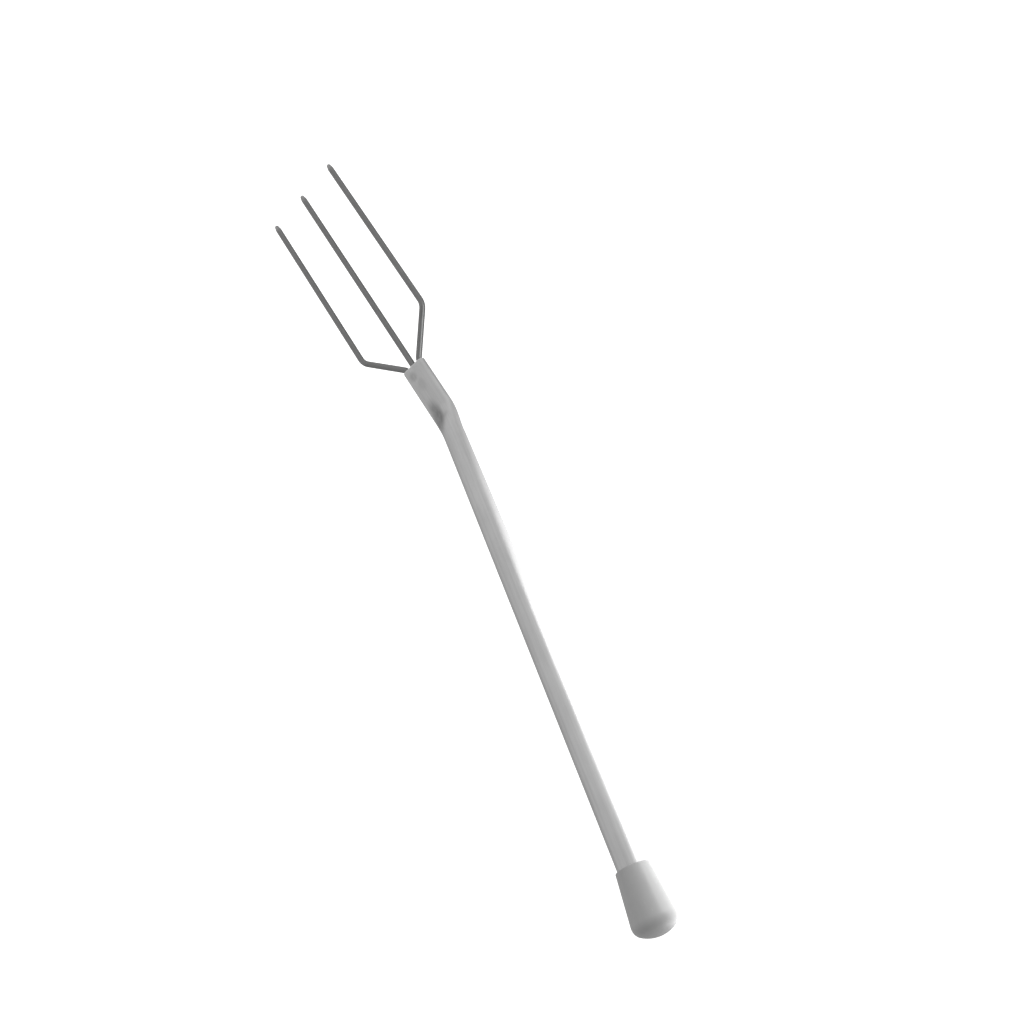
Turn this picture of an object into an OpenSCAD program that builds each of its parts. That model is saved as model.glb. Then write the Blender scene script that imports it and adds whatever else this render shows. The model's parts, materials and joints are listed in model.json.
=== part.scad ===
// Three-tined uncapping fork: a round tube handle whose end is pressed flat around
// three bent wires, with a push-on cap over the other end.
// Millimetres. +X runs from the cap to the tips, +Z is up and the XZ plane is the
// plane of symmetry. The origin is under the middle of the bounding box, on the
// surface that the cap and the neck touch.

/* [Handle tube] */
// Outer diameter of the handle tube
tube_d = 12; // [11:0.5:16]
// Wall thickness of the handle tube
tube_wall = 1.2; // [0.8:0.1:1.5]
// Length of tube that shows, from the front of the cap to the corner of the neck
grip_length = 240; // [150:1:350]

/* [Neck and socket] */
// Angle by which the socket and the tines rise from the handle
neck_angle = 22; // [10:1:35]
// Radius of the neck's bend, measured along its underside
neck_bend_r = 50; // [40:1:80]
// Distance before the neck's corner at which the tube starts to flatten
flatten_before = 6; // [2:0.5:12]
// Distance after the neck's corner at which the tube is fully flat
flatten_after = 16; // [12:0.5:24]
// Height of the ramp's crown across its top, where the tube is half flattened
ramp_crown = 1.2; // [0:0.1:1.5]
// Length of the socket, from the neck's corner to its mouth
socket_length = 46; // [38:1:70]

/* [Tines] */
// Diameter of the tine wire
wire_d = 3.5; // [2.8:0.1:4.2]
// Distance from the socket's mouth to the tips
tine_reach = 141; // [100:1:200]
// Distance between the straight parts of two neighbouring tines
tine_pitch = 25.6; // [18:0.2:34]
// Share of the socket's spare width that lies between the wires, not beside them
root_spread = 0.83; // [0.5:0.01:0.95]
// Distance from the end of the neck's ramp to the wires' inner ends
root_margin = 2.9; // [0:0.1:10]
// Angle between an outer tine's leg and the socket
leg_angle = 41; // [30:1:60]
// Radius of the bend at the mouth, at the wire's centre line
mouth_bend_r = 6; // [5:0.5:9]
// Share of the gap beside an outer wire that its bend takes up inside the mouth
bend_share = 0.54; // [0.1:0.01:0.9]
// Radius of the shoulder bend, at the wire's centre line
shoulder_bend_r = 9; // [6:0.5:14]
// Length of a tip's taper
tip_taper = 2.2; // [1:0.1:5]
// Diameter of a tip's round end
tip_d = 2.6; // [1.6:0.1:2.8]

/* [End cap] */
// Length of the cap, from its front rim to the middle of its domed end
cap_length = 23.4; // [18:0.1:40]
// Wall thickness of the cap at its front rim
cap_wall = 1; // [0.8:0.1:2]
// How much larger the cap's radius is at its widest than at its front rim
cap_flare = 1.9; // [0.5:0.1:4]
// Radius that rounds the cap's rear edge
cap_edge_r = 4; // [1:0.1:5]
// Angle from the middle of the domed end to the start of the rounded edge
cap_dome_angle = 30; // [15:0.1:55]
// Chamfer of the front rim
cap_chamfer = 0.3; // [0.1:0.1:0.6]
// Depth of the cap's bore, and so the length of tube inside it
cap_bore_depth = 15; // [8:0.5:16]

/* [Hidden] */
$fn = 48;

// Tube and wires
tube_r = tube_d / 2;
wire_r = wire_d / 2;
tip_r = tip_d / 2;
tip_steps = 8;

// Pressing thins the tube's wall by this much on each side, so the pressed neck
// starts inside the wall of the round tube, this far from its end
press_thinning = 0.02;
neck_overlap = 0.5;
socket_t = wire_d + 2 * (tube_wall - press_thinning);

// The underside of the neck is a straight line, an arc and a straight line again.
// Places along it are distances from the middle of the arc.
half_arc = neck_bend_r * neck_angle / 2 * PI / 180;
neck_tangent = neck_bend_r * tan(neck_angle / 2);
flat_from = -max(half_arc, flatten_before);
flat_to = max(half_arc, flatten_after);
mouth_at = half_arc + socket_length - neck_tangent;
neck_steps = 14;
neck_places = concat(
    flat_from - neck_overlap,
    [for (i = [0:neck_steps]) flat_from + (flat_to - flat_from) * i / neck_steps],
    mouth_at);
tube_front = half_arc - neck_tangent + flat_from;

// Angle and point of the underside at the place u
function slope(u) = max(0, min(neck_angle, (u + half_arc) / neck_bend_r * 180 / PI));
function underside(u) =
    let (a = slope(u), before = min(0, u + half_arc), after = max(0, u - half_arc))
    [-neck_tangent + before + neck_bend_r * sin(a) + after * cos(a),
     -tube_r + neck_bend_r * (1 - cos(a)) + after * sin(a)];

// How far the tube is pressed at the place u, eased from 0, round, to 1, flat, and
// half its thickness and half the width of its flats there
function ease(t) = t * t * (3 - 2 * t);
function pressed(u) =
    ease(max(0, min(1, (u + flatten_before) / (flatten_before + flatten_after))));
function half_thickness(u) = tube_r - (tube_r - socket_t / 2) * pressed(u);
function half_flat(u) = PI / 2 * (tube_r - half_thickness(u));

// A point of the pressed section, as its distance to the side and its height above
// the middle. The section is two half circles joined by flats, and its points keep
// their distance along the tube's girth, which starts below the circle at +Y.
function section(half_t, depth, girth_at) =
    let (flat = PI / 2 * (tube_r - half_t), side = girth_at < PI * tube_r ? 1 : -1,
         at = girth_at % (PI * tube_r), turn = at / half_t * 180 / PI - 90,
         r = half_t - depth)
    side * (turn < 90 ? [flat + r * cos(turn), r * sin(turn)] : [flat + PI * half_t - at, r]);

// One ring of points around the pressed tube, at a depth below its surface. The ramp
// between round and flat is crowned.
sides = 48;
function ring(u, depth) =
    let (a = slope(u), p = underside(u), half_t = half_thickness(u),
         half_width = half_flat(u) + half_t,
         crown = 4 * ramp_crown * pressed(u) * (1 - pressed(u)))
    [for (i = [0:sides - 1])
        let (q = section(half_t, depth, (i + 0.5) / sides * 2 * PI * tube_r),
             lift = q[1] > 0 ? crown * (1 - (q[0] / half_width) ^ 2) : 0,
             up = half_t + q[1] + lift)
        [p[0] - up * sin(a), q[0], p[1] + up * cos(a)]];

// The middle of the mouth, between the wires
mouth = let (p = underside(mouth_at))
    [p[0] - socket_t / 2 * sin(neck_angle), 0, p[1] + socket_t / 2 * cos(neck_angle)];

// The three wires lie side by side in the socket. What is left of its width is
// shared out between the gaps between the wires and those beside them.
spare_width = half_flat(mouth_at) - wire_d;
root_pitch = wire_d + root_spread * spare_width;
root_length = mouth_at - flat_to - root_margin;

// Bending thins the wire by this much, and a bend runs on by this angle at each end.
// The mouth's bend starts where it shifts the wire by its share of the gap.
bend_thinning = 0.01;
bend_overlap = 1.5;
bend_shift = bend_share * (1 - root_spread) * spare_width;
bend_inset = sqrt(2 * mouth_bend_r * bend_shift - bend_shift ^ 2);

// Outer tine: the straight part of its leg
leg_straight = (tine_pitch - root_pitch) / sin(leg_angle)
    - (mouth_bend_r + shoulder_bend_r) * tan(leg_angle / 2);

// End cap: a cone, tangent to the rounded rear edge, tangent to the dome.
// Its profile is [radius, distance from the front rim].
cap_rim_r = tube_r + cap_wall;
edge_r = cap_rim_r + cap_flare - cap_edge_r;
cap_dome_r = edge_r / sin(cap_dome_angle) + cap_edge_r;
dome_centre = cap_length - cap_dome_r;
edge_at = dome_centre + (cap_dome_r - cap_edge_r) * cos(cap_dome_angle);
cone_run = edge_at - cap_chamfer;
cone_rise = edge_r - cap_rim_r;
cone_angle = atan2(cone_rise, cone_run) + asin(cap_edge_r / norm([cone_run, cone_rise]));
edge_steps = 8;
dome_steps = 12;

// The pose at rest: the cap's rear edge and the neck's bend touch the surface
cap_to_bend = [grip_length + edge_at - neck_tangent, neck_bend_r - tube_r + edge_r];
rest_angle = atan2(cap_to_bend[1], cap_to_bend[0])
    - asin((neck_bend_r - cap_edge_r) / norm(cap_to_bend));
rest_height = neck_bend_r + neck_tangent * -sin(rest_angle)
    - (neck_bend_r - tube_r) * cos(rest_angle);
function laid_x(p) = p[0] * cos(rest_angle) + p[2] * sin(rest_angle);
tip_centre = mouth + (tine_reach - tip_r) * [cos(neck_angle), 0, sin(neck_angle)];
front_x = laid_x(tip_centre) + tip_r;
rear_x = laid_x([-grip_length - dome_centre, 0, 0]) - cap_dome_r;

// Turns and moves the fork from the tube's own frame, in which the corner of the
// neck is below the origin, to its pose at rest
module at_rest() {
    translate([-(front_x + rear_x) / 2, 0, rest_height])
        rotate([0, rest_angle, 0])
            children();
}

// From the tube's own frame to the mouth, with +X along the tines
module at_mouth() {
    at_rest() translate(mouth) rotate([0, -neck_angle, 0]) children();
}

// A straight wire along +X
module wire(length) {
    rotate([0, 90, 0]) cylinder(h = length, r = wire_r);
}

// A bent wire around the origin, from one angle to a larger one. It reaches a little
// way into the straight wires at its ends, which it is a little thinner than.
module wire_bend(bend_r, from, to) {
    rotate([0, 0, from - bend_overlap])
        rotate_extrude(angle = to - from + 2 * bend_overlap)
            translate([bend_r, 0]) circle(r = wire_r - bend_thinning);
}

// A straight wire along +X whose far end is tapered and round
module pointed_wire(start, end) {
    tip = [for (i = [0:tip_steps])
        let (a = 90 * i / tip_steps)
        [tip_r * cos(a), end - tip_r + tip_r * sin(a)]];
    side = [[0, start], [wire_r, start], [wire_r, end - tip_r - tip_taper]];
    rotate([0, 90, 0]) rotate_extrude() polygon(concat(side, tip));
}

// The pressed neck and socket: one hollow skin through all its rings
module pressed_neck() {
    count = len(neck_places);
    outside = [for (u = neck_places) each ring(u, press_thinning)];
    inside = [for (u = neck_places) each ring(u, tube_wall - press_thinning)];
    inner = len(outside);
    last = (count - 1) * sides;
    skins = [for (k = [0:count - 2], i = [0:sides - 1])
        let (a = k * sides + i, b = k * sides + (i + 1) % sides, c = b + sides, d = a + sides)
        each [[a, d, c], [a, c, b],
              [inner + a, inner + b, inner + c], [inner + a, inner + c, inner + d]]];
    ends = [for (i = [0:sides - 1])
        let (j = (i + 1) % sides, m = last + i, n = last + j)
        each [[i, j, inner + j], [i, inner + j, inner + i],
              [m, inner + m, inner + n], [m, inner + n, n]]];
    polyhedron(points = concat(outside, inside), faces = concat(skins, ends));
}

module handle_tube() {
    color("silver") at_rest() {
        pressed_neck();
        translate([-grip_length - cap_bore_depth, 0, 0]) rotate([0, 90, 0])
            difference() {
                cylinder(h = grip_length + cap_bore_depth + tube_front, r = tube_r);
                translate([0, 0, -1])
                    cylinder(h = grip_length + cap_bore_depth + tube_front + 2,
                             r = tube_r - tube_wall);
            }
    }
}

// An outer tine, to +Y of the middle: root, bend, leg, shoulder bend and tine
module outer_tine() {
    leg_start = [-bend_inset + mouth_bend_r * sin(leg_angle),
                 root_pitch + mouth_bend_r * (1 - cos(leg_angle)), 0];
    leg_end = leg_start + leg_straight * [cos(leg_angle), sin(leg_angle), 0];
    shoulder = leg_end + shoulder_bend_r * [sin(leg_angle), -cos(leg_angle), 0];
    translate([-root_length, root_pitch, 0]) wire(root_length - bend_inset);
    translate([-bend_inset, root_pitch + mouth_bend_r, 0])
        wire_bend(mouth_bend_r, -90, leg_angle - 90);
    translate(leg_start) rotate([0, 0, leg_angle]) wire(leg_straight);
    translate(shoulder) wire_bend(shoulder_bend_r, 90, 90 + leg_angle);
    translate([0, tine_pitch, 0]) pointed_wire(shoulder[0], tine_reach);
}

module tine_left() {
    color("dimgray") at_mouth() outer_tine();
}

module tine_centre() {
    color("dimgray") at_mouth() pointed_wire(-root_length, tine_reach);
}

module tine_right() {
    color("dimgray") at_mouth() mirror([0, 1, 0]) outer_tine();
}

module end_cap() {
    rim = [[0, 0], [cap_rim_r - cap_chamfer, 0], [cap_rim_r, cap_chamfer]];
    edge = [for (i = [0:edge_steps])
        let (a = 90 + cone_angle + (cap_dome_angle - 90 - cone_angle) * i / edge_steps)
        [edge_r + cap_edge_r * sin(a), edge_at + cap_edge_r * cos(a)]];
    dome = [for (i = [1:dome_steps])
        let (a = cap_dome_angle * (1 - i / dome_steps))
        [cap_dome_r * sin(a), dome_centre + cap_dome_r * cos(a)]];
    color("gray") at_rest() translate([-grip_length, 0, 0]) rotate([0, -90, 0])
        difference() {
            rotate_extrude() polygon(concat(rim, edge, dome));
            translate([0, 0, -1]) cylinder(h = cap_bore_depth + 1, r = tube_r);
        }
}

handle_tube();
tine_left();
tine_centre();
tine_right();
end_cap();
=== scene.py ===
"""Looks of a three-tined uncapping fork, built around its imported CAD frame.

Everything is in metres in the frame's own axes: +X runs from the end cap to the tips,
+Z is up, and the XZ plane is the plane of symmetry. The fork's lines and lengths are
read from the frame, and what the frame doesn't say is a named size below.
"""

import json
import logging
import math
from dataclasses import dataclass
from enum import Enum
from typing import Sequence, Union

import bpy
from mathutils import Matrix, Quaternion, Vector
from mathutils.geometry import intersect_line_line


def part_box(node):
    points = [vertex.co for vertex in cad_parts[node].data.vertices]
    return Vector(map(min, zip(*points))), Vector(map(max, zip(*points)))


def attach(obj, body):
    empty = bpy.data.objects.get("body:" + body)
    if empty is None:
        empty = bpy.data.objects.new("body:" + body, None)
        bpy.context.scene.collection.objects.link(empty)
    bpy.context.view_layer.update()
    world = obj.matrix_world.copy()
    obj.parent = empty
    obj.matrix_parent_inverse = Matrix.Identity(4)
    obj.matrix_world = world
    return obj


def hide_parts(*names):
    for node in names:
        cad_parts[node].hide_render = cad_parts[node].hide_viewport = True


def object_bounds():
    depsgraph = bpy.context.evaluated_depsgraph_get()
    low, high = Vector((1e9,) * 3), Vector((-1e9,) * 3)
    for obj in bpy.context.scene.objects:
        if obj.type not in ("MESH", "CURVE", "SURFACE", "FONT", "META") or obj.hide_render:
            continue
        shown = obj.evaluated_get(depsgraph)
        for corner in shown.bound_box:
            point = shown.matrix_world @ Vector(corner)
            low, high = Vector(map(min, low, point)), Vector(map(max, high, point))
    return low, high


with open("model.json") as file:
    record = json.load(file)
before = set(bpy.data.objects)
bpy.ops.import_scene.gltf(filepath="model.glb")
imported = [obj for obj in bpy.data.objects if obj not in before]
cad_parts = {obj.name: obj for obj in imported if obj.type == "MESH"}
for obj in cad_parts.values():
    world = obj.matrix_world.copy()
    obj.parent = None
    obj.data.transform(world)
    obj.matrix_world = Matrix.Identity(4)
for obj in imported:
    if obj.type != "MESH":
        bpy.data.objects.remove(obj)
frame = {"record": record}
CAD_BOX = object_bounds()

LOG = logging.getLogger("uncapping_fork")
MM = 0.001
BODY = "root"
FULL_TURN = 2 * math.pi
HALF_TURN = math.pi
QUARTER_TURN = math.pi / 2
SIDEWAYS = Vector((0.0, 1.0, 0.0))

# Names of the point attributes that the finishes read
METAL_COORDINATES = "drawn"
SHADE_AND_STAIN = "shade_and_stain"
WORN_EDGE = "worn_edge"


class Slot(Enum):
    """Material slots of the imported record."""

    TUBE = "brushed_tube"
    WIRE = "tine_wire"
    CAP = "cap_plastic"


# ---------------------------------------------------------------------------
# Nodes
# ---------------------------------------------------------------------------


class Socket:
    """A node's output that takes part in Python expressions."""

    def __init__(self, board: "Board", plug: bpy.types.NodeSocket) -> None:
        """Keeps the output and the board that its node is on."""
        self.board = board
        self.plug = plug

    def math(self, operation: str, *values: "Number") -> "Socket":
        """The result of a Math node with these values in its sockets."""
        return self.board.node("ShaderNodeMath", {"operation": operation}, dict(enumerate(values)))

    def __add__(self, other: "Number") -> "Socket":
        """self + other."""
        return self.math("ADD", self, other)

    def __radd__(self, other: "Number") -> "Socket":
        """other + self."""
        return self.math("ADD", other, self)

    def __sub__(self, other: "Number") -> "Socket":
        """self - other."""
        return self.math("SUBTRACT", self, other)

    def __rsub__(self, other: "Number") -> "Socket":
        """other - self."""
        return self.math("SUBTRACT", other, self)

    def __mul__(self, other: "Number") -> "Socket":
        """self * other."""
        return self.math("MULTIPLY", self, other)

    def __rmul__(self, other: "Number") -> "Socket":
        """other * self."""
        return self.math("MULTIPLY", other, self)

    def __truediv__(self, other: "Number") -> "Socket":
        """self / other."""
        return self.math("DIVIDE", self, other)

    def __rtruediv__(self, other: "Number") -> "Socket":
        """other / self."""
        return self.math("DIVIDE", other, self)

    def __neg__(self) -> "Socket":
        """0 - self."""
        return 0.0 - self

    def __pow__(self, other: "Number") -> "Socket":
        """self to the power of other."""
        return self.math("POWER", self, other)

    def __rpow__(self, other: "Number") -> "Socket":
        """other to the power of self."""
        return self.math("POWER", other, self)

    def at_least(self, other: "Number") -> "Socket":
        """The larger of self and other."""
        return self.math("MAXIMUM", self, other)

    def at_most(self, other: "Number") -> "Socket":
        """The smaller of self and other."""
        return self.math("MINIMUM", self, other)

    def above(self, other: "Number") -> "Socket":
        """1 where self is greater than other, else 0."""
        return self.math("GREATER_THAN", self, other)

    def rise(self, low: "Number", high: "Number") -> "Socket":
        """Eases from 0 at low to 1 at high."""
        return self.board.node(
            "ShaderNodeMapRange",
            {"interpolation_type": "SMOOTHSTEP"},
            {"Value": self, "From Min": low, "From Max": high},
        )


Number = Union[int, float, Socket]


class Board:
    """A node tree that nodes are put on."""

    def __init__(self, tree: bpy.types.NodeTree) -> None:
        """Keeps the tree."""
        self.tree = tree

    def node(
        self, kind: str, settings: dict | None = None, inputs: dict | None = None, output: int | str = 0
    ) -> Socket:
        """Puts one node on the board.

        Args:
            kind: The node's type.
            settings: Its properties, which are set first.
            inputs: Values or links for its sockets, by name or index.
            output: The socket that is wanted.

        Returns:
            The wanted output.
        """
        made = self.tree.nodes.new(kind)
        for name, value in (settings or {}).items():
            setattr(made, name, value)
        for name, value in (inputs or {}).items():
            self.plug_in(value, made.inputs[name])
        return Socket(self, made.outputs[output])

    def plug_in(self, value: object, plug: bpy.types.NodeSocket) -> None:
        """Links a socket to an input, or sets the input's own value."""
        if isinstance(value, Socket):
            self.tree.links.new(value.plug, plug)
        else:
            plug.default_value = value

    def vector(self, x: Number, y: Number, z: Number) -> Socket:
        """Joins three numbers to a vector."""
        return self.node("ShaderNodeCombineXYZ", {}, {0: x, 1: y, 2: z})

    def neutral(self, level: Number) -> Socket:
        """A grey whose level may vary."""
        return self.vector(level, level, level)

    def attribute(self, name: str, output: str = "Fac") -> Socket:
        """What a mesh holds for its points under a name: a number, or its "Vector"."""
        return self.node("ShaderNodeAttribute", {"attribute_name": name}, {}, output)

    def split(self, vector: Socket) -> tuple[Socket, Socket, Socket]:
        """The three numbers of a vector."""
        parts = self.node("ShaderNodeSeparateXYZ", {}, {0: vector}).plug.node
        return tuple(Socket(self, plug) for plug in parts.outputs)

    def stretched(self, vector: Socket, x: float, y: float, z: float) -> Socket:
        """A vector times one factor for each axis."""
        return self.node("ShaderNodeVectorMath", {"operation": "MULTIPLY"}, {0: vector, 1: (x, y, z)})

    def noise(self, vector: Socket, detail: float = 2.0, roughness: float = 0.5) -> Socket:
        """Smooth noise around 0.5, one blotch for each unit of the vector."""
        return self.node(
            "ShaderNodeTexNoise",
            {},
            {"Vector": vector, "Scale": 1.0, "Detail": detail, "Roughness": roughness},
        )

    def mixed(self, factor: Number, first: object, second: object) -> Socket:
        """Goes from the first colour to the second as factor goes from 0 to 1."""
        return self.node("ShaderNodeMix", {"data_type": "RGBA"}, {0: factor, 6: first, 7: second}, 2)

    def bump(self, height: Socket, strength: float, depth: float) -> Socket:
        """A normal that is bent by a height, where a height of 1 stands for the depth."""
        return self.node("ShaderNodeBump", {}, {"Strength": strength, "Distance": depth, "Height": height})


def grey(level: float) -> tuple[float, float, float, float]:
    """An opaque neutral colour."""
    return (level, level, level, 1.0)


# ---------------------------------------------------------------------------
# Finishes
# ---------------------------------------------------------------------------


@dataclass(frozen=True)
class Finish:
    """What every finish has: a name and a way to dress the shader."""

    name: str

    def material(self) -> bpy.types.Material:
        """Makes the material and lets the finish dress its shader.

        Returns:
            The material.
        """
        made = bpy.data.materials.new(self.name)
        made.use_nodes = True
        board = Board(made.node_tree)
        shader = made.node_tree.nodes["Principled BSDF"]
        for name, value in self.dress(board).items():
            board.plug_in(value, shader.inputs[name])
        return made

    def dress(self, board: Board) -> dict[str, object]:
        """Values and links for the shader's sockets, by socket name."""
        raise NotImplementedError


@dataclass(frozen=True)
class BrushedTube(Finish):
    """Stainless tube, brushed along its length, rubbed in places by use, with painted shade inside the mouth
    and on the ramp and darker patches round the press marks.

    The grain follows the metal: it is drawn on the coordinates that each point had
    while the tube was still straight and round. A share says how much a pattern counts.
    """

    tone: float = 0.44
    tone_spread: float = 0.16
    roughness: float = 0.38
    roughness_spread: float = 0.12
    shade_and_stain_tone: float = 0.2
    edge_tone: float = 0.70
    grain_length: float = 18 * MM
    grain_width: float = 0.16 * MM
    band_length: float = 120 * MM
    band_width: float = 1.5 * MM
    cloud_size: float = 11 * MM
    grain_depth: float = 0.006 * MM
    grain_share: float = 0.8
    band_share: float = 0.9
    cloud_share: float = 0.7
    shade_and_stain_blotch: float = 0.3
    shade_and_stain_roughness: float = 0.18
    edge_blotch: float = 0.4
    edge_roughness: float = -0.08
    band_relief: float = 0.6

    def dress(self, board: Board) -> dict[str, object]:
        """Grain, bands, clouds, painted shade with darker press marks, and bright edges.

        Args:
            board: The material's nodes.

        Returns:
            Values and links for the shader's sockets, by name.
        """
        metal = board.attribute(METAL_COORDINATES, "Vector")
        across = 1 / self.grain_width
        grain = board.noise(board.stretched(metal, 1 / self.grain_length, across, across), 3.0, 0.6)
        wide = 1 / self.band_width
        band = board.noise(board.stretched(metal, 1 / self.band_length, wide, wide), 2.0, 0.5)
        size = 1 / self.cloud_size
        cloud = board.noise(board.stretched(metal, size / 2, size, size), 4.0, 0.6)
        fine_cloud = board.noise(board.stretched(metal, size * 2, size * 5, size * 5), 3.0, 0.6)
        level = (
            (grain - 0.5) * self.grain_share
            + (band - 0.5) * self.band_share
            + (cloud - 0.5) * self.cloud_share
        )
        # The attribute read below paints shade inside the mouth and on the ramp, and darkens the patches
        # round the press marks.
        blotches = 1 - self.shade_and_stain_blotch + self.shade_and_stain_blotch * fine_cloud.rise(0.25, 0.65)
        marks = board.attribute(SHADE_AND_STAIN) * blotches
        clean = board.neutral(self.tone + level * self.tone_spread)
        shaded_and_stained = board.mixed(marks, clean, grey(self.shade_and_stain_tone))
        bright = board.attribute(WORN_EDGE) * (1 - self.edge_blotch + self.edge_blotch * fine_cloud)
        rough = self.roughness + level * self.roughness_spread
        rough = rough + marks * self.shade_and_stain_roughness + bright * self.edge_roughness
        return {
            "Base Color": board.mixed(bright, shaded_and_stained, grey(self.edge_tone)),
            "Metallic": 1.0,
            "Roughness": rough,
            "Normal": board.bump(grain + self.band_relief * band, 1.0, self.grain_depth),
        }


@dataclass(frozen=True)
class DrawnWire(Finish):
    """Cold-drawn steel wire: dull, dark grey, with fine die lines along it."""

    tone: float = 0.19
    tone_spread: float = 0.09
    roughness: float = 0.42
    roughness_spread: float = 0.14
    line_length: float = 25 * MM
    line_width: float = 0.14 * MM
    cloud_size: float = 6 * MM
    line_depth: float = 0.006 * MM
    rubbed_tone: float = 0.36
    line_share: float = 0.8
    speck_tone: float = -0.05
    speck_relief: float = 0.5
    bare_roughness: float = -0.08

    def dress(self, board: Board) -> dict[str, object]:
        """Die lines, oxide clouds and rubbed tips.

        Args:
            board: The material's nodes.

        Returns:
            Values and links for the shader's sockets, by name.
        """
        metal = board.attribute(METAL_COORDINATES, "Vector")
        across = 1 / self.line_width
        lines = board.noise(board.stretched(metal, 1 / self.line_length, across, across), 3.0, 0.6)
        size = 1 / self.cloud_size
        cloud = board.noise(board.stretched(metal, size, size * 2, size * 2), 4.0, 0.65)
        speck = board.noise(board.stretched(metal, size * 8, size * 12, size * 12), 2.0, 0.5)
        level = (lines - 0.5) * self.line_share + (cloud - 0.5)
        tone = self.tone + level * self.tone_spread + speck.rise(0.62, 0.72) * self.speck_tone
        bare = board.attribute(WORN_EDGE) * cloud.rise(0.3, 0.6)
        rough = self.roughness + level * self.roughness_spread + bare * self.bare_roughness
        return {
            "Base Color": board.mixed(bare, board.neutral(tone), grey(self.rubbed_tone)),
            "Metallic": 1.0,
            "Roughness": rough,
            "Normal": board.bump(lines + self.speck_relief * speck, 1.0, self.line_depth),
        }


@dataclass(frozen=True)
class MouldedPlastic(Finish):
    """Smooth grey plastic with a fine mould texture and a few scuffs from handling."""

    tone: float = 0.3
    tone_spread: float = 0.035
    roughness: float = 0.36
    roughness_spread: float = 0.12
    texture_size: float = 0.22 * MM
    texture_depth: float = 0.004 * MM
    cloud_size: float = 5 * MM
    scuff_length: float = 6 * MM
    scuff_width: float = 0.25 * MM
    scuff_tone: float = 0.42
    scuff_everywhere: float = 0.25
    scuff_roughness: float = 0.2
    scuff_relief: float = -0.5
    refractive_index: float = 1.5

    def dress(self, board: Board) -> dict[str, object]:
        """Mould texture, clouds of gloss, scuffs and a rubbed rear edge.

        Args:
            board: The material's nodes.

        Returns:
            Values and links for the shader's sockets, by name.
        """
        place = board.node("ShaderNodeTexCoord", {}, {}, "Object")
        fine = 1 / self.texture_size
        texture = board.noise(board.stretched(place, fine, fine, fine), 2.0, 0.5)
        size = 1 / self.cloud_size
        cloud = board.noise(board.stretched(place, size, size, size), 4.0, 0.55)
        narrow = 1 / self.scuff_width
        streak = board.noise(board.stretched(place, 1 / self.scuff_length, narrow, narrow), 2.0, 0.5)
        worn = self.scuff_everywhere + (1 - self.scuff_everywhere) * board.attribute(WORN_EDGE)
        scuffs = streak.rise(0.66, 0.74) * cloud.rise(0.5, 0.62) * worn
        tone = self.tone + (cloud - 0.5) * self.tone_spread
        rough = self.roughness + (cloud - 0.5) * self.roughness_spread + scuffs * self.scuff_roughness
        return {
            "Base Color": board.mixed(scuffs, board.neutral(tone), grey(self.scuff_tone)),
            "Roughness": rough,
            "Normal": board.bump(texture + self.scuff_relief * scuffs, 1.0, self.texture_depth),
            "IOR": self.refractive_index,
        }


@dataclass(frozen=True)
class GlowingTable(Finish):
    """White table that glows beside the handle's rear half and looks evenly white.

    The camera sees at least seen_glow everywhere, and the fork gets the true glow. The
    pairs are places in metres where the bright patch begins and ends: to the right of
    the plane of symmetry, towards the front and towards the rear.
    """

    tone: float = 0.7
    roughness: float = 0.75
    specular: float = 0.15
    seen_glow: float = 0.9
    glow: float = 0.05
    bright_glow: float = 3.0
    bright_from_middle: tuple[float, float] = (0.0, 0.008)
    bright_until: tuple[float, float] = (0.2, 0.4)
    bright_front: tuple[float, float] = (-0.2, 0.12)
    bright_rear: tuple[float, float] = (-0.28, -0.215)

    def dress(self, board: Board) -> dict[str, object]:
        """A matt white with its glow.

        Args:
            board: The material's nodes.

        Returns:
            Values and links for the shader's sockets, by name.
        """
        x, y, _ = board.split(board.node("ShaderNodeTexCoord", {}, {}, "Object"))
        right = -y
        beside = right.rise(*self.bright_from_middle) * (1 - right.rise(*self.bright_until))
        along = x.rise(*self.bright_rear) * (1 - x.rise(*self.bright_front))
        level = self.glow + self.bright_glow * beside * along
        seen = board.node("ShaderNodeLightPath", {}, {}, "Is Camera Ray")
        shown = level.at_least(self.seen_glow * seen)
        return {
            "Base Color": grey(self.tone),
            "Roughness": self.roughness,
            "Specular IOR Level": self.specular,
            "Emission Color": board.neutral(shown),
            "Emission Strength": 1.0,
        }


# ---------------------------------------------------------------------------
# The fork's lines
# ---------------------------------------------------------------------------


def upright(axis: Vector) -> Vector:
    """The direction in the XZ plane that is square to an axis, on its upper side."""
    return Vector((-axis.z, 0.0, axis.x))


def smooth(t: float) -> float:
    """Eases from 0 to 1, level at both ends."""
    t = min(1.0, max(0.0, t))
    return t * t * (3 - 2 * t)


@dataclass(frozen=True)
class Lines:
    """The fork's axes and radii, from the frame."""

    tube_r: float
    wire_r: float
    pitch: float
    tube_point: Vector
    tube_axis: Vector
    tine_point: Vector
    tine_axis: Vector

    @classmethod
    def from_frame(cls) -> "Lines":
        """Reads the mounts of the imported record.

        Returns:
            The fork's lines.
        """
        mounts = {mount["name"]: mount for mount in frame["record"]["mounts"]}
        grip = mounts["grip"]
        outer = mounts["left_tine_end"]
        point = Vector(outer["pos_m"])
        return cls(
            tube_r=grip["dims"]["r_mm"] * MM,
            wire_r=outer["dims"]["r_mm"] * MM,
            pitch=point.y,
            tube_point=Vector(grip["pos_m"]),
            tube_axis=-Vector(grip["axis"]).normalized(),
            tine_point=Vector((point.x, 0.0, point.z)),
            tine_axis=Vector(outer["axis"]).normalized(),
        )

    @property
    def neck_angle(self) -> float:
        """Angle from the tube's axis to the tines' axis."""
        return self.tube_axis.angle(self.tine_axis)


# ---------------------------------------------------------------------------
# Mesh work
# ---------------------------------------------------------------------------


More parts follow.
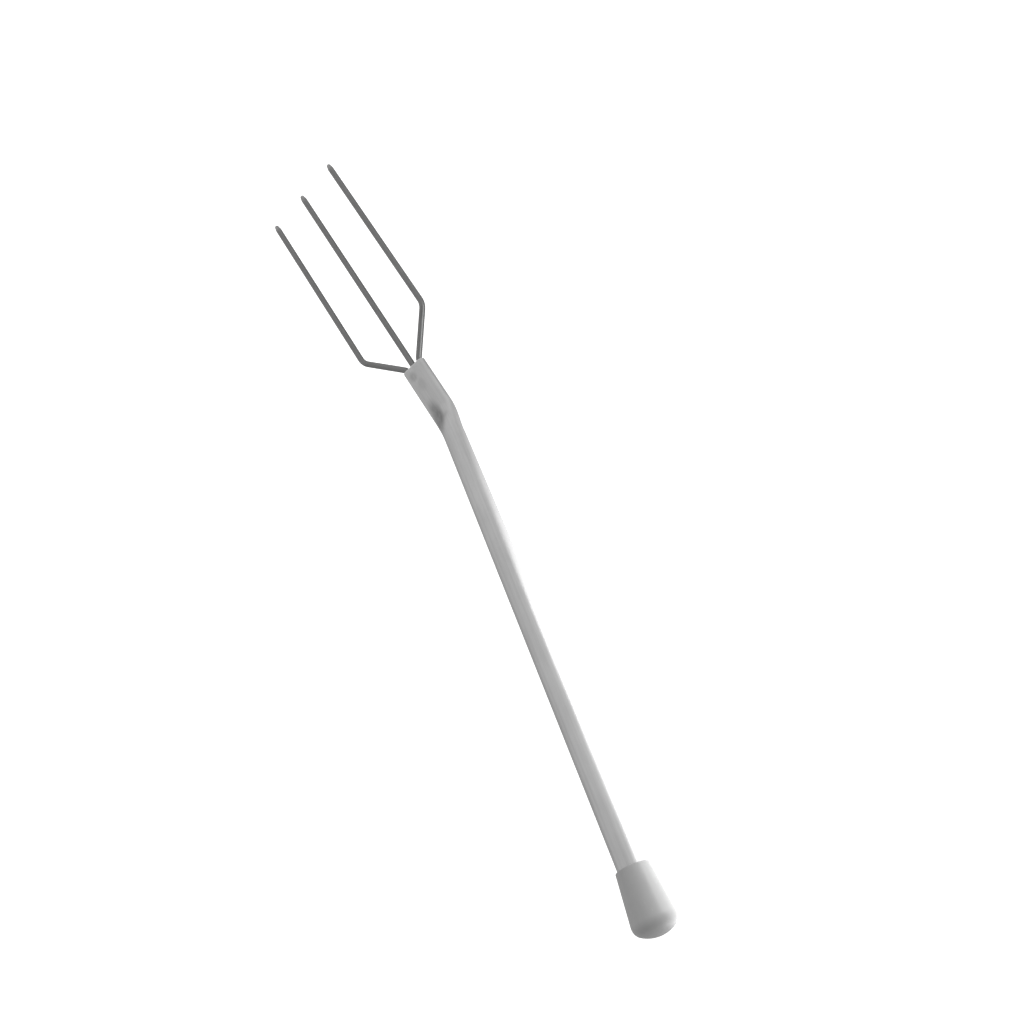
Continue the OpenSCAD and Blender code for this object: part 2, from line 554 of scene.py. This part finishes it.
def new_piece(name: str, mesh: bpy.types.Mesh, slot: Slot, *replaced: str) -> bpy.types.Object:
    """Puts a finished mesh in the scene as a piece of the fork.

    Args:
        name: The piece's name.
        mesh: Its mesh, in the row frame.
        slot: The record's material slot; not used.
        replaced: The CAD nodes that it stands for.

    Returns:
        The piece.
    """
    piece = bpy.data.objects.new(name, mesh)
    bpy.context.scene.collection.objects.link(piece)
    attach(piece, BODY)
    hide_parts(*replaced)
    LOG.info("%s: %d faces, stands for %s", name, len(mesh.polygons), ", ".join(replaced))
    return piece


def add_numbers(mesh: bpy.types.Mesh, name: str, values: Sequence[float]) -> None:
    """Gives each point of a mesh a number."""
    mesh.attributes.new(name, "FLOAT", "POINT").data.foreach_set("value", values)


def add_vectors(mesh: bpy.types.Mesh, name: str, values: Sequence[Vector]) -> None:
    """Gives each point of a mesh a vector."""
    flat = [number for value in values for number in value]
    mesh.attributes.new(name, "FLOAT_VECTOR", "POINT").data.foreach_set("vector", flat)


def wrap(count: int, sides: int, first: int, closed: bool) -> list[tuple[int, ...]]:
    """Faces between rings of points that follow each other.

    Args:
        count: The number of rings.
        sides: The number of points in a ring.
        first: The index of the first ring's first point.
        closed: Whether the last ring is joined to the first.

    Returns:
        The faces, as point indices.
    """
    faces = []
    for k in range(count if closed else count - 1):
        here = first + k * sides
        there = first + (k + 1) % count * sides
        for i in range(sides):
            j = (i + 1) % sides
            faces.append((here + i, here + j, there + j, there + i))
    return faces


# ---------------------------------------------------------------------------
# Handle tube
# ---------------------------------------------------------------------------


@dataclass(frozen=True)
class PressMark:
    """A shallow dent in the top of the socket or the ramp, darkened around it; on the ramp the darkening is
    painted shade.

    Its place is measured from the mouth and from the middle to the left. The darkness is how dark it gets,
    and its spread how far it reaches, in dent sizes.
    """

    from_mouth: float
    to_left: float
    half_length: float
    half_width: float
    depth: float
    shade_and_stain: float
    shade_and_stain_spread: float

    def far(self, from_mouth: float, to_left: float) -> float:
        """Distance of a place from the dent's middle: 1 is at its edge."""
        along = (from_mouth - self.from_mouth) / self.half_length
        return math.hypot(along, (to_left - self.to_left) / self.half_width)


@dataclass
class HandleTube:
    """The round tube and its pressed and bent front end, as one hollow skin."""

    lines: Lines
    wall: float = 1.2 * MM
    bend_r: float = 50 * MM
    flatten_before: float = 6 * MM
    flatten_after: float = 16 * MM
    ramp_crown: float = 1.2 * MM
    lip_round: float = 0.28 * MM
    sides: int = 144
    straight_step: float = 5 * MM
    pressed_step: float = 0.55 * MM
    lip_steps: int = 5
    wave_depth: float = 0.10 * MM
    wave_reach: float = 7 * MM
    wave_length: float = 2.63  # in wire radii: the next wire's middle
    shade_and_stain_edge: float = 1.4
    marks: tuple[PressMark, ...] = (
        PressMark(6 * MM, 2.6 * MM, 2.2 * MM, 1.7 * MM, 0.10 * MM, 0.4, 2.0),
        PressMark(13 * MM, 0.8 * MM, 2.6 * MM, 1.7 * MM, 0.06 * MM, 0.2, 2.2),
        # On the ramp, the darkening of this mark is painted shade.
        PressMark(37.5 * MM, 2.5 * MM, 13 * MM, 4 * MM, 0.3 * MM, 0.9, 1.3),
    )

    def __post_init__(self) -> None:
        """Works out the neck's corner, the mouth and the rear end from the frame."""
        lines = self.lines
        self.socket_t = 2 * (lines.wire_r + self.wall)
        self.angle = lines.neck_angle
        self.half_arc = self.bend_r * self.angle / 2
        self.tangent = self.bend_r * math.tan(self.angle / 2)
        self.tube_up = upright(lines.tube_axis)
        self.tine_up = upright(lines.tine_axis)
        below_tube = lines.tube_point - lines.tube_r * self.tube_up
        below_tines = lines.tine_point - self.socket_t / 2 * self.tine_up
        self.corner = intersect_line_line(
            below_tube, below_tube + lines.tube_axis, below_tines, below_tines + lines.tine_axis
        )[0]
        low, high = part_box("handle_tube")
        self.socket_length = (high.x - self.corner.x) / lines.tine_axis.x
        self.mouth_at = self.half_arc + self.socket_length - self.tangent
        rear_x = low.x + lines.tube_r * self.tube_up.x
        self.rear_at = (rear_x - self.corner.x) / lines.tube_axis.x + self.tangent - self.half_arc

    @property
    def mouth(self) -> Vector:
        """The middle of the mouth, between the wires."""
        along = self.socket_length * self.lines.tine_axis
        return self.corner + along + self.socket_t / 2 * self.tine_up

    def slope(self, u: float) -> float:
        """Angle of the underside at a place along it, from the tube's axis."""
        return min(self.angle, max(0.0, (u + self.half_arc) / self.bend_r))

    def underside(self, u: float) -> Vector:
        """Point of the underside on the plane of symmetry.

        Args:
            u: The place along the underside, 0 in the middle of the bend.

        Returns:
            The point.
        """
        a = self.slope(u)
        before = min(0.0, u + self.half_arc)
        after = max(0.0, u - self.half_arc)
        along = -self.tangent + before + self.bend_r * math.sin(a) + after * math.cos(a)
        up = self.bend_r * (1 - math.cos(a)) + after * math.sin(a)
        return self.corner + along * self.lines.tube_axis + up * self.tube_up

    def pressed(self, u: float) -> float:
        """How far the tube is pressed at a place: 0 is round and 1 is flat."""
        return smooth((u + self.flatten_before) / (self.flatten_before + self.flatten_after))

    def half_thickness(self, u: float) -> float:
        """Half the tube's thickness at a place."""
        return self.lines.tube_r - (self.lines.tube_r - self.socket_t / 2) * self.pressed(u)

    def section(self, u: float, depth: float, i: int) -> tuple[float, float, float, float]:
        """A point of the tube's section, at a depth below its surface.

        The points keep their distance along the tube's girth as it is pressed.

        Args:
            u: The place along the underside.
            depth: The distance below the outer surface.
            i: The point's number around the section.

        Returns:
            Its y, its height above the axis, and the y and height of its outward normal.
        """
        half_t = self.half_thickness(u)
        flat = QUARTER_TURN * (self.lines.tube_r - half_t)
        girth = FULL_TURN * self.lines.tube_r
        at = (i / self.sides * girth + HALF_TURN * half_t / 2) % girth
        half_girth = girth / 2
        side = 1 if at < half_girth else -1
        at = at % half_girth
        r = half_t - depth
        if at < HALF_TURN * half_t:
            turn = at / half_t - QUARTER_TURN
            out_y, out_up = math.cos(turn), math.sin(turn)
            y, up = flat + r * out_y, r * out_up
        else:
            out_y, out_up = 0.0, 1.0
            y, up = flat - (at - HALF_TURN * half_t), r
        y, up = side * y, side * up
        if up > 0:
            pressed = self.pressed(u)
            up += 4 * self.ramp_crown * pressed * (1 - pressed) * (1 - (y / (flat + half_t)) ** 2)
        return y, up, side * out_y, side * out_up

    def dent(self, u: float, y: float, out_up: float, outside: bool) -> float:
        """Depth of the press marks, and of the waves that the wires left at the mouth.

        Args:
            u: The place along the underside.
            y: The distance to the left of the middle.
            out_up: How far the surface there faces up.
            outside: Whether it is the outer surface.

        Returns:
            How far the surface is sunk.
        """
        from_mouth = self.mouth_at - u
        wave_at = abs(y) / (self.lines.wire_r * self.wave_length)
        wave = (1 - math.cos(FULL_TURN * min(1.0, wave_at))) / 2
        depth = self.wave_depth * wave * abs(out_up) * math.exp(-max(0.0, from_mouth) / self.wave_reach)
        if outside and out_up > 0:
            for mark in self.marks:
                depth += mark.depth * max(0.0, 1 - mark.far(from_mouth, y) ** 2) ** 2
        return depth

    def places(self) -> list[tuple[float, float, bool]]:
        """Where the rings go: place along the underside, depth and whether outside.

        Returns:
            The rings in order, out along the surface, round the lip and back inside.
        """
        pressed_from = -max(self.half_arc, self.flatten_before)
        straight = math.ceil((pressed_from - self.rear_at) / self.straight_step)
        pressed = math.ceil((self.mouth_at - pressed_from) / self.pressed_step)
        r = self.lip_round
        outer = [self.rear_at + (pressed_from - self.rear_at) * k / straight for k in range(straight)]
        outer += [pressed_from + (self.mouth_at - r - pressed_from) * k / pressed for k in range(pressed)]
        rings = [(u, 0.0, True) for u in outer]
        for k in range(self.lip_steps + 1):
            turn = QUARTER_TURN * k / self.lip_steps
            rings.append((self.mouth_at - r + r * math.sin(turn), r - r * math.cos(turn), True))
        for k in range(self.lip_steps + 1):
            turn = QUARTER_TURN * k / self.lip_steps
            depth = self.wall - r + r * math.sin(turn)
            rings.append((self.mouth_at - r + r * math.cos(turn), depth, False))
        return rings + [(u, self.wall, False) for u in reversed(outer[::2])]

    def build(self) -> bpy.types.Mesh:
        """Makes the skin with the attributes that its finish reads.

        Returns:
            The mesh.
        """
        points, metal, shades_and_stains, edges = [], [], [], []
        rings = self.places()
        for u, depth, outside in rings:
            a = self.slope(u)
            up = self.tube_up * math.cos(a) - self.lines.tube_axis * math.sin(a)
            middle = self.underside(u) + self.half_thickness(u) * up
            lip = smooth(1 - (self.mouth_at - u) / (2 * self.lip_round))
            for i in range(self.sides):
                y, height, out_y, out_up = self.section(u, depth, i)
                sunk = self.dent(u, y, out_up, outside)
                place = middle + (height - sunk * out_up) * up
                points.append(place + Vector((0.0, y - sunk * out_y, 0.0)))
                turn = FULL_TURN * i / self.sides
                r = self.lines.tube_r - depth
                metal.append(Vector((u, r * math.cos(turn), r * math.sin(turn))))
                shades_and_stains.append(self.shade_and_stain(u, y, out_up, outside))
                edges.append(lip)
        mesh = bpy.data.meshes.new("handle_tube_skin")
        mesh.from_pydata(points, [], wrap(len(rings), self.sides, 0, True))
        add_vectors(mesh, METAL_COORDINATES, metal)
        add_numbers(mesh, SHADE_AND_STAIN, shades_and_stains)
        add_numbers(mesh, WORN_EDGE, edges)
        mesh.shade_smooth()
        return mesh

    def shade_and_stain(self, u: float, y: float, out_up: float, outside: bool) -> float:
        """How dark the metal is painted: painted shade inside the mouth and on the ramp, and darker patches
        round the press marks.

        Args:
            u: The place along the underside.
            y: The distance to the left of the middle.
            out_up: How far the surface there faces up.
            outside: Whether it is the outer surface.

        Returns:
            From 0, untouched, to 1.
        """
        # The whole inside of the mouth gets painted shade.
        if not outside:
            return 1.0
        if out_up <= 0:
            return 0.0
        from_mouth = self.mouth_at - u
        dark = 0.0
        for mark in self.marks:
            inward = 1 - mark.far(from_mouth, y) / mark.shade_and_stain_spread
            dark = max(dark, mark.shade_and_stain * smooth(self.shade_and_stain_edge * inward))
        return dark

    def make(self, finish: Finish) -> bpy.types.Object:
        """Builds and dresses the piece.

        Args:
            finish: What it is made of.

        Returns:
            The piece.
        """
        mesh = self.build()
        mesh.materials.append(finish.material())
        return new_piece("pressed_handle_tube", mesh, Slot.TUBE, "handle_tube")


# ---------------------------------------------------------------------------
# Tines
# ---------------------------------------------------------------------------


class WireTree:
    """Geometry nodes that sweep a wire along two bends to a tapered, round tip."""

    SIZES = (
        "Root Y", "Tine Y", "Root Length", "First Corner", "Leg Run", "Reach",
        "Mouth Bend", "Shoulder Bend", "Wire Radius", "Tip Radius", "Taper",
    )
    BEND_STEPS = 28
    CROWDING = 1.8
    ROOT_CHAMFER = 0.4 * MM
    THINNEST = 0.02 * MM
    RUBBED = (1 * MM, 7 * MM)  # from the tip: all rubbed, and not rubbed

    def __init__(self, material: bpy.types.Material, rings: int = 420, sides: int = 40) -> None:
        """Builds the tree.

        Args:
            material: What the wire is made of.
            rings: The number of rings along the wire.
            sides: The number of points in a ring.
        """
        self.tree = bpy.data.node_groups.new("bent_wire", "GeometryNodeTree")
        face = self.tree.interface
        self.identifiers = {
            name: face.new_socket(name, in_out="INPUT", socket_type="NodeSocketFloat").identifier
            for name in self.SIZES
        }
        face.new_socket("Wire", in_out="OUTPUT", socket_type="NodeSocketGeometry")
        self.board = Board(self.tree)
        entry = self.tree.nodes.new("NodeGroupInput")
        size = {name: Socket(self.board, entry.outputs[name]) for name in self.SIZES}
        path = self.path(size)
        wire = self.sweep(path, size, rings, sides)
        whole = self.board.node("GeometryNodeRealizeInstances", {}, {"Geometry": wire})
        dressed = self.board.node("GeometryNodeSetMaterial", {}, {"Geometry": whole, "Material": material})
        leave = self.tree.nodes.new("NodeGroupOutput")
        self.board.plug_in(dressed, leave.inputs["Wire"])

    def path(self, size: dict[str, Socket]) -> Socket:
        """The wire's centre line, through four corners with the middle two rounded.

        Args:
            size: The tree's inputs by name.

        Returns:
            The curve.
        """
        board = self.board
        index = board.node("GeometryNodeInputIndex")
        last = [index.above(k + 0.5) for k in range(3)]
        first_corner, run = size["First Corner"], size["Leg Run"]
        x = (
            last[0] * (first_corner + size["Root Length"])
            + last[1] * run
            + last[2] * (size["Reach"] - first_corner - run)
            - size["Root Length"]
        )
        y = size["Root Y"] + last[1] * (size["Tine Y"] - size["Root Y"])
        dots = board.node("GeometryNodeMeshLine", {}, {"Count": 4})
        places = board.vector(x, y, 0.0)
        placed = board.node("GeometryNodeSetPosition", {}, {"Geometry": dots, "Position": places})
        line = board.node("GeometryNodeMeshToCurve", {}, {"Mesh": placed})
        bend = size["Mouth Bend"] + last[1] * (size["Shoulder Bend"] - size["Mouth Bend"])
        return board.node(
            "GeometryNodeFilletCurve",
            {"mode": "POLY"},
            {"Curve": line, "Count": self.BEND_STEPS, "Radius": bend, "Limit Radius": True},
        )

    def stored(self, geometry: Socket, kind: str, name: str, value: Socket) -> Socket:
        """The geometry with a value of a data type kept for each point under a name."""
        return self.board.node(
            "GeometryNodeStoreNamedAttribute",
            {"data_type": kind, "domain": "POINT"},
            {"Geometry": geometry, "Name": name, "Value": value},
        )

    def named(self, kind: str, name: str) -> Socket:
        """What was kept under a name."""
        return self.board.node("GeometryNodeInputNamedAttribute", {"data_type": kind}, {"Name": name})

    def radius(self, along: Socket, to_go: Socket, size: dict[str, Socket]) -> Socket:
        """The wire's radius: chamfered at the root, tapered and round at the tip.

        Args:
            along: The length from the root.
            to_go: The length to the tip.
            size: The tree's inputs by name.

        Returns:
            The radius.
        """
        tip_r, wire_r = size["Tip Radius"], size["Wire Radius"]
        into_ball = tip_r - to_go.at_most(tip_r)
        ball = (tip_r * tip_r - into_ball * into_ball).at_least(0.0) ** 0.5
        cone = tip_r + (wire_r - tip_r) * ((to_go - tip_r) / size["Taper"]).at_least(0.0).at_most(1.0)
        cut = wire_r - (self.ROOT_CHAMFER - along).at_least(0.0)
        return (ball * cone / tip_r).at_most(cut).at_least(self.THINNEST)

    def sweep(self, path: Socket, size: dict[str, Socket], rings: int, sides: int) -> Socket:
        """The wire's surface, with rings that crowd together towards the tip.

        Args:
            path: The centre line.
            size: The tree's inputs by name.
            rings: The number of rings along the wire.
            sides: The number of points in a ring.

        Returns:
            The mesh.
        """
        board = self.board
        total = board.node("GeometryNodeCurveLength", {}, {"Curve": path})
        index = board.node("GeometryNodeInputIndex")
        along = total * (1 - (1 - index / (rings - 1)).at_least(0.0) ** self.CROWDING)
        to_go = (total - along).at_least(0.0)
        beads = board.node(
            "GeometryNodeResampleCurve",
            {"mode": "COUNT"},
            {"Curve": board.node("GeometryNodeCurvePrimitiveLine"), "Count": rings},
        )
        place = board.node(
            "GeometryNodeSampleCurve",
            {"mode": "LENGTH", "use_all_curves": True},
            {"Curves": path, "Length": along},
            "Position",
        )
        laid = board.node("GeometryNodeSetPosition", {}, {"Geometry": beads, "Position": place})
        laid = self.stored(laid, "FLOAT", "along", along)
        laid = self.stored(laid, "FLOAT", WORN_EDGE, 1 - to_go.rise(*self.RUBBED))
        circle = board.node(
            "GeometryNodeCurvePrimitiveCircle", {"mode": "RADIUS"}, {"Resolution": sides, "Radius": 1.0}
        )
        circle = self.stored(circle, "FLOAT_VECTOR", "around", board.node("GeometryNodeInputPosition"))
        radius = self.radius(along, to_go, size)
        skin = board.node(
            "GeometryNodeCurveToMesh",
            {},
            {"Curve": laid, "Profile Curve": circle, "Scale": radius, "Fill Caps": True},
        )
        around = self.named("FLOAT_VECTOR", "around")
        wire_r = size["Wire Radius"]
        round_part = board.node("ShaderNodeVectorMath", {"operation": "SCALE"}, {0: around, "Scale": wire_r})
        out_x, out_y, _ = board.split(round_part)
        metal = board.vector(self.named("FLOAT", "along"), out_x, out_y)
        skin = self.stored(skin, "FLOAT_VECTOR", METAL_COORDINATES, metal)
        return board.node("GeometryNodeSetShadeSmooth", {"domain": "FACE"}, {"Geometry": skin})

    def wire(self, name: str, sizes: dict[str, float]) -> bpy.types.Mesh:
        """Runs the tree once and keeps the result as a plain mesh.

        Args:
            name: The mesh's name.
            sizes: A value for each of the tree's inputs.

        Returns:
            The mesh.
        """
        host = bpy.data.objects.new(name, bpy.data.meshes.new(name))
        bpy.context.scene.collection.objects.link(host)
        modifier = host.modifiers.new("bent_wire", "NODES")
        modifier.node_group = self.tree
        for size, value in sizes.items():
            modifier[self.identifiers[size]] = value
        graph = bpy.context.evaluated_depsgraph_get()
        made = bpy.data.meshes.new_from_object(
            host.evaluated_get(graph), preserve_all_data_layers=True, depsgraph=graph
        )
        host.modifiers.remove(modifier)
        bpy.data.objects.remove(host)
        return made


@dataclass
class Tines:
    """Three wires, side by side in the socket, the outer two bent out and forward."""

    lines: Lines
    tube: HandleTube
    leg_angle: float = math.radians(41)
    mouth_bend: float = 6 * MM
    bend_inset: float = 1.2 * MM
    shoulder_bend: float = 9 * MM
    tip_r: float = 1.3 * MM
    taper: float = 2.2 * MM

    def __post_init__(self) -> None:
        """Works out the wires' reach, roots and spread from the frame."""
        axis = self.lines.tine_axis
        mouth = self.tube.mouth
        low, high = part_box("tine_centre")
        self.reach = (high.x - self.tip_r - mouth.x) / axis.x + self.tip_r
        root_x = low.x + self.lines.wire_r * abs(self.tube.tine_up.x)
        self.root_length = (mouth.x - root_x) / axis.x
        self.root_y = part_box("tine_left")[0].y + self.lines.wire_r

    def at_mouth(self) -> Matrix:
        """From the mouth's own frame, with +X along the tines, to the row frame."""
        turned = Matrix((self.lines.tine_axis, SIDEWAYS, self.tube.tine_up)).transposed().to_4x4()
        return Matrix.Translation(self.tube.mouth) @ turned

    def sizes(self, side: int) -> dict[str, float]:
        """The tree's inputs for one wire.

        Args:
            side: 1 for the left tine, 0 for the centre one and -1 for the right one.

        Returns:
            A value for each input.
        """
        return {
            "Root Y": side * self.root_y,
            "Tine Y": side * self.lines.pitch,
            "Root Length": self.root_length,
            "First Corner": self.mouth_bend * math.tan(self.leg_angle / 2) - self.bend_inset,
            "Leg Run": (self.lines.pitch - self.root_y) / math.tan(self.leg_angle),
            "Reach": self.reach,
            "Mouth Bend": self.mouth_bend,
            "Shoulder Bend": self.shoulder_bend,
            "Wire Radius": self.lines.wire_r,
            "Tip Radius": self.tip_r,
            "Taper": self.taper,
        }

    def make(self, finish: Finish) -> list[bpy.types.Object]:
        """Builds and dresses the three wires.

        Args:
            finish: What they are made of.

        Returns:
            The pieces.
        """
        tree = WireTree(finish.material())
        pieces = []
        for name, side in (("left", 1), ("centre", 0), ("right", -1)):
            mesh = tree.wire(f"tine_wire_{name}", self.sizes(side))
            mesh.transform(self.at_mouth())
            pieces.append(new_piece(f"tine_wire_{name}", mesh, Slot.WIRE, f"tine_{name}"))
        return pieces


# ---------------------------------------------------------------------------
# End cap
# ---------------------------------------------------------------------------


@dataclass
class EndCap:
    """Moulded cap: a cone that widens to a rounded rear edge and a shallow dome."""

    lines: Lines
    length: float = 23.4 * MM
    wall: float = 1 * MM
    flare: float = 1.9 * MM
    edge_r: float = 4 * MM
    dome_angle: float = math.radians(30)
    rim_round: float = 0.3 * MM
    bore_depth: float = 15 * MM
    bore_lead_in: tuple[float, float] = (0.12 * MM, 0.4 * MM)  # across and along
    gate_r: float = 1.1 * MM
    gate_depth: float = 0.12 * MM
    gate_slope: float = 0.35 * MM
    worn_reach: float = 2.5  # in edge radii
    sides: int = 160
    bore_end_steps: int = 4
    bore_steps: int = 5
    rim_steps: int = 6
    cone_steps: int = 30
    edge_steps: int = 20
    dome_steps: int = 34

    def __post_init__(self) -> None:
        """Works out the profile's circles, and the rim's place from the frame."""
        self.rim_r = self.lines.tube_r + self.wall
        self.edge_centre_r = self.rim_r + self.flare - self.edge_r
        self.dome_r = self.edge_centre_r / math.sin(self.dome_angle) + self.edge_r
        self.dome_at = self.length - self.dome_r
        self.edge_at = self.dome_at + (self.dome_r - self.edge_r) * math.cos(self.dome_angle)
        low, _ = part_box("end_cap")
        lines = self.lines
        centre_x = low.x + self.dome_r
        centre = lines.tube_point + (centre_x - lines.tube_point.x) / lines.tube_axis.x * lines.tube_axis
        self.rim = centre + self.dome_at * lines.tube_axis

    def profile(self) -> list[tuple[float, float]]:
        """The outline from the middle of the bore's end, round the rim, to the pole.

        Returns:
            Distances from the axis and from the rim, to the rear.
        """
        bore, r = self.lines.tube_r, self.rim_round
        across, along = self.bore_lead_in
        ends, steps = self.bore_end_steps, self.bore_steps
        outline = [(bore * k / ends, self.bore_depth) for k in range(1, ends)]
        outline += [(bore, self.bore_depth * (1 - k / steps)) for k in range(steps)]
        outline += [(bore, along), (bore + across, 0.0)]
        for k in range(self.rim_steps + 1):
            turn = QUARTER_TURN * k / self.rim_steps
            outline.append((self.rim_r - r + r * math.sin(turn), r - r * math.cos(turn)))
        run = self.edge_at - r
        rise = self.edge_centre_r - self.rim_r
        lean = math.atan2(rise, run) + math.asin(self.edge_r / math.hypot(run, rise))
        start = QUARTER_TURN + lean
        widest, widest_at = self.on_edge(start)
        for k in range(1, self.cone_steps):
            share = k / self.cone_steps
            outline.append((self.rim_r + (widest - self.rim_r) * share, r + (widest_at - r) * share))
        for k in range(self.edge_steps + 1):
            outline.append(self.on_edge(start + (self.dome_angle - start) * k / self.edge_steps))
        for k in range(1, self.dome_steps):
            a = self.dome_angle * (1 - k / self.dome_steps)
            away = self.dome_r * math.sin(a)
            gate = self.gate_depth * smooth((self.gate_r - away) / self.gate_slope)
            outline.append((away, self.dome_at + self.dome_r * math.cos(a) - gate))
        return outline

    def on_edge(self, a: float) -> tuple[float, float]:
        """Point of the rounded rear edge at an angle from the axis."""
        return self.edge_centre_r + self.edge_r * math.sin(a), self.edge_at + self.edge_r * math.cos(a)

    def build(self) -> bpy.types.Mesh:
        """Turns the outline into a closed mesh.

        Returns:
            The mesh.
        """
        outline = self.profile()
        back = -self.lines.tube_axis
        up = upright(self.lines.tube_axis)
        points, rubbed = [], []
        for away, along in outline:
            near_edge = smooth(1 - abs(along - self.edge_at) / (self.worn_reach * self.edge_r))
            worn = near_edge if away > self.lines.tube_r + self.rim_round else 0.0
            for i in range(self.sides):
                turn = FULL_TURN * i / self.sides
                out = math.cos(turn) * up + math.sin(turn) * SIDEWAYS
                points.append(self.rim + along * back + away * out)
                rubbed.append(worn)
        faces = wrap(len(outline), self.sides, 0, False)
        inner_pole, outer_pole = len(points), len(points) + 1
        points.append(self.rim + self.bore_depth * back)
        points.append(self.rim + (self.length - self.gate_depth) * back)
        rubbed += [0.0, 0.0]
        last = (len(outline) - 1) * self.sides
        for i in range(self.sides):
            j = (i + 1) % self.sides
            faces.append((inner_pole, j, i))
            faces.append((outer_pole, last + i, last + j))
        mesh = bpy.data.meshes.new("end_cap_skin")
        mesh.from_pydata(points, [], faces)
        add_numbers(mesh, WORN_EDGE, rubbed)
        mesh.shade_smooth()
        return mesh

    def make(self, finish: Finish) -> bpy.types.Object:
        """Builds and dresses the piece.

        Args:
            finish: What it is made of.

        Returns:
            The piece.
        """
        mesh = self.build()
        mesh.materials.append(finish.material())
        return new_piece("moulded_end_cap", mesh, Slot.CAP, "end_cap")


# ---------------------------------------------------------------------------
# Studio
# ---------------------------------------------------------------------------


@dataclass(frozen=True)
class Panel:
    """A soft light: a glowing rectangle that faces the middle of the fork."""

    name: str
    from_centre: tuple[float, float, float]
    width: float
    height: float
    radiance: float

    def place(self, target: Vector) -> bpy.types.Object:
        """Hangs the panel around a target.

        Args:
            target: The point that it faces.

        Returns:
            The light.
        """
        away = Vector(self.from_centre)
        light = bpy.data.lights.new(self.name, "AREA")
        light.shape = "RECTANGLE"
        light.size = self.width
        light.size_y = self.height
        light.energy = self.radiance * math.pi * self.width * self.height
        made = bpy.data.objects.new(self.name, light)
        made.location = target + away
        made.rotation_mode = "QUATERNION"
        made.rotation_quaternion = (-away).to_track_quat("-Z", "Y")
        made.visible_camera = False
        bpy.context.scene.collection.objects.link(made)
        return made


@dataclass(frozen=True)
class RoomLight:
    """Soft light from all around: dimmer low down, behind the cap and straight above.

    Each fade is a pair of direction numbers between which a level changes. The camera
    sees one even level, and the fork mirrors the others.
    """

    seen: float = 1.0
    low: float = 0.85
    high: float = 1.0
    tilt: float = 0.35
    fade: tuple[float, float] = (0.35, 0.70)
    rear: float = 0.5
    rear_fade: tuple[float, float] = (-0.7, 0.1)
    zenith: float = 0.84
    zenith_fade: tuple[float, float] = (0.8, 0.94)

    def make(self) -> bpy.types.World:
        """Makes the world that surrounds the fork.

        Returns:
            The world.
        """
        world = bpy.data.worlds.new("room")
        world.use_nodes = True
        board = Board(world.node_tree)
        towards = board.node("ShaderNodeTexCoord", {}, {}, "Generated")
        x, y, z = board.split(towards)
        height = (z - self.tilt * y).rise(*self.fade)
        ahead = x.rise(*self.rear_fade)
        overhead = z.rise(*self.zenith_fade)
        level = (self.low + (self.high - self.low) * height) * (self.rear + (1 - self.rear) * ahead)
        level = level * (1 - (1 - self.zenith) * overhead)
        seen = board.node("ShaderNodeLightPath", {}, {}, "Is Camera Ray")
        colour = board.mixed(seen, board.neutral(level), grey(self.seen))
        board.plug_in(colour, world.node_tree.nodes["Background"].inputs["Color"])
        return world


@dataclass
class Studio:
    """White table, a soft side panel, the room's light and the camera."""

    table_size: float = 9.0
    table_finish: Finish = GlowingTable("opal_table")
    room: RoomLight = RoomLight()
    panel: Panel = Panel("side_panel", (-0.06, -0.22, 0.0), 0.27, 0.06, 4.5)
    camera_from_centre: tuple[float, float, float] = (-0.24754, -0.14342, 0.24416)
    camera_azimuth: float = -59.077
    camera_elevation: float = 47.109
    camera_roll: float = -63.329
    lens: float = 26.981
    sensor: float = 36.0
    clip_start: float = 0.01

    def make(self) -> None:
        """Builds the whole studio."""
        low, high = CAD_BOX
        centre = (low + high) / 2
        self.lay_table(low.z)
        bpy.context.scene.world = self.room.make()
        self.panel.place(centre)
        self.set_camera(centre)
        bpy.context.scene.view_settings.view_transform = "Standard"

    def lay_table(self, height: float) -> None:
        """Lays the white table under the fork.

        Args:
            height: The table's height.
        """
        half = self.table_size / 2
        outline = [(-half, -half, height), (half, -half, height), (half, half, height), (-half, half, height)]
        mesh = bpy.data.meshes.new("table_top")
        mesh.from_pydata(outline, [], [(0, 1, 2, 3)])
        mesh.materials.append(self.table_finish.material())
        table = bpy.data.objects.new("table_top", mesh)
        bpy.context.scene.collection.objects.link(table)

    def set_camera(self, centre: Vector) -> None:
        """Places and turns the camera.

        Args:
            centre: The middle of the fork's box.
        """
        a, e = math.radians(self.camera_azimuth), math.radians(self.camera_elevation)
        back = Vector((math.sin(a) * math.cos(e), -math.cos(a) * math.cos(e), math.sin(e)))
        level = (-back).to_track_quat("-Z", "Y")
        data = bpy.data.cameras.new("camera")
        data.lens = self.lens
        data.sensor_width = self.sensor
        data.clip_start = self.clip_start
        data.dof.use_dof = False
        camera = bpy.data.objects.new("camera", data)
        camera.location = centre + Vector(self.camera_from_centre)
        camera.rotation_mode = "QUATERNION"
        camera.rotation_quaternion = Quaternion(back, math.radians(self.camera_roll)) @ level
        bpy.context.scene.collection.objects.link(camera)
        bpy.context.scene.camera = camera


def main() -> None:
    """Builds the studio and the fork."""
    logging.basicConfig(level=logging.INFO, format="%(message)s")
    Studio().make()
    lines = Lines.from_frame()
    tube = HandleTube(lines)
    tube.make(BrushedTube("brushed_stainless_tube"))
    Tines(lines, tube).make(DrawnWire("drawn_steel_wire"))
    EndCap(lines).make(MouldedPlastic("moulded_grey_plastic"))


if __name__ == "__main__":
    main()
